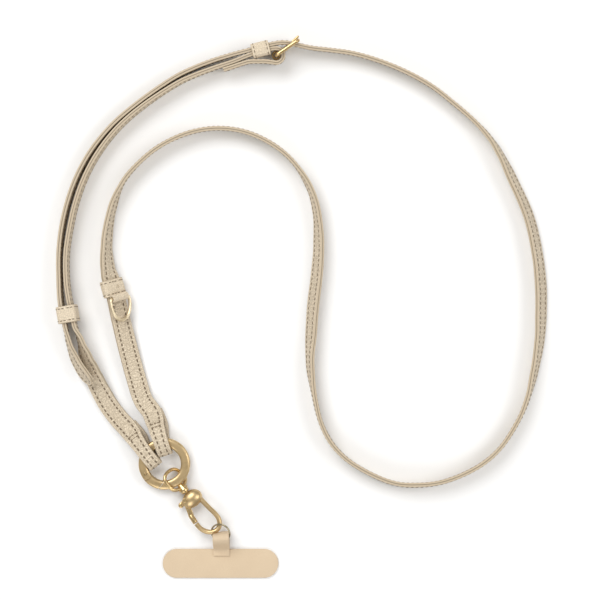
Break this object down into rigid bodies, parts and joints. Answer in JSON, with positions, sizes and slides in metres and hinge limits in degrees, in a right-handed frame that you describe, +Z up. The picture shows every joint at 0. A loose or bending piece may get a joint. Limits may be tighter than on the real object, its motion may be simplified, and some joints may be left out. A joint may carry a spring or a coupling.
{
  "type": "phone crossbody strap",
  "caption": "Slim leather crossbody strap with a buckle adjuster, keepers, spring-gate ring, swivel snap hook and a flat phone-case tab, laid out in loops.",
  "frame": {"origin": "middle of the laid-out strap's outline, on the surface that it lies on", "axes": "+Z up from the surface, +Y from the phone tab towards the buckle, +X to the right of that"},
  "size_m": [0.2532, 0.2803, 0.0154],
  "materials": {
    "leather": "fine pebbled grain, matte",
    "pale_gold": "polished pale gold plating",
    "jump_ring_metal": "polished, darker and greyer",
    "tab_sheet": "matte coated sheet"
  },
  "bodies": {
    "strap": {"long_strap": "leather", "buckle_strap": "leather", "top_keeper": "leather", "lower_keeper": "leather", "ring_keeper": "leather", "buckle_frame": "pale_gold", "buckle_prong": "pale_gold", "gate_ring": "pale_gold", "gate_pin": "pale_gold", "swivel_eye": "pale_gold"},
    "ring_gate": {"ring_gate": "pale_gold"},
    "d_ring": {"d_ring": "pale_gold"},
    "hook": {"hook_body": "pale_gold", "hook_rivet": "pale_gold", "jump_ring": "jump_ring_metal", "phone_tab": "tab_sheet"},
    "hook_gate": {"hook_gate": "pale_gold"}
  },
  "joints": [
    {"name": "ring_gate_hinge", "type": "hinge", "parent": "strap", "child": "ring_gate", "pos_m": [-0.08076, -0.08512, 0.0042], "axis": [0, 0, 1], "range_deg": [0, 15], "stiffness_Nm_per_rad": 0.002, "springref_deg": -11.46},
    {"name": "d_ring_hinge", "type": "hinge", "parent": "strap", "child": "d_ring", "pos_m": [-0.09382, 0.00608, 0.00852], "axis": [-0.7232, -0.217, 0.6556], "range_deg": [0, 120]},
    {"name": "hook_swivel", "type": "hinge", "parent": "strap", "child": "hook", "pos_m": [-0.05685, -0.09823, 0.0036], "axis": [0.6561, -0.7547, 0], "continuous": true},
    {"name": "hook_gate_hinge", "type": "hinge", "parent": "hook", "child": "hook_gate", "pos_m": [-0.06029, -0.0987, 0.0036], "axis": [0, 0, 1], "range_deg": [0, 25], "stiffness_Nm_per_rad": 0.002, "springref_deg": -11.46}
  ]
}
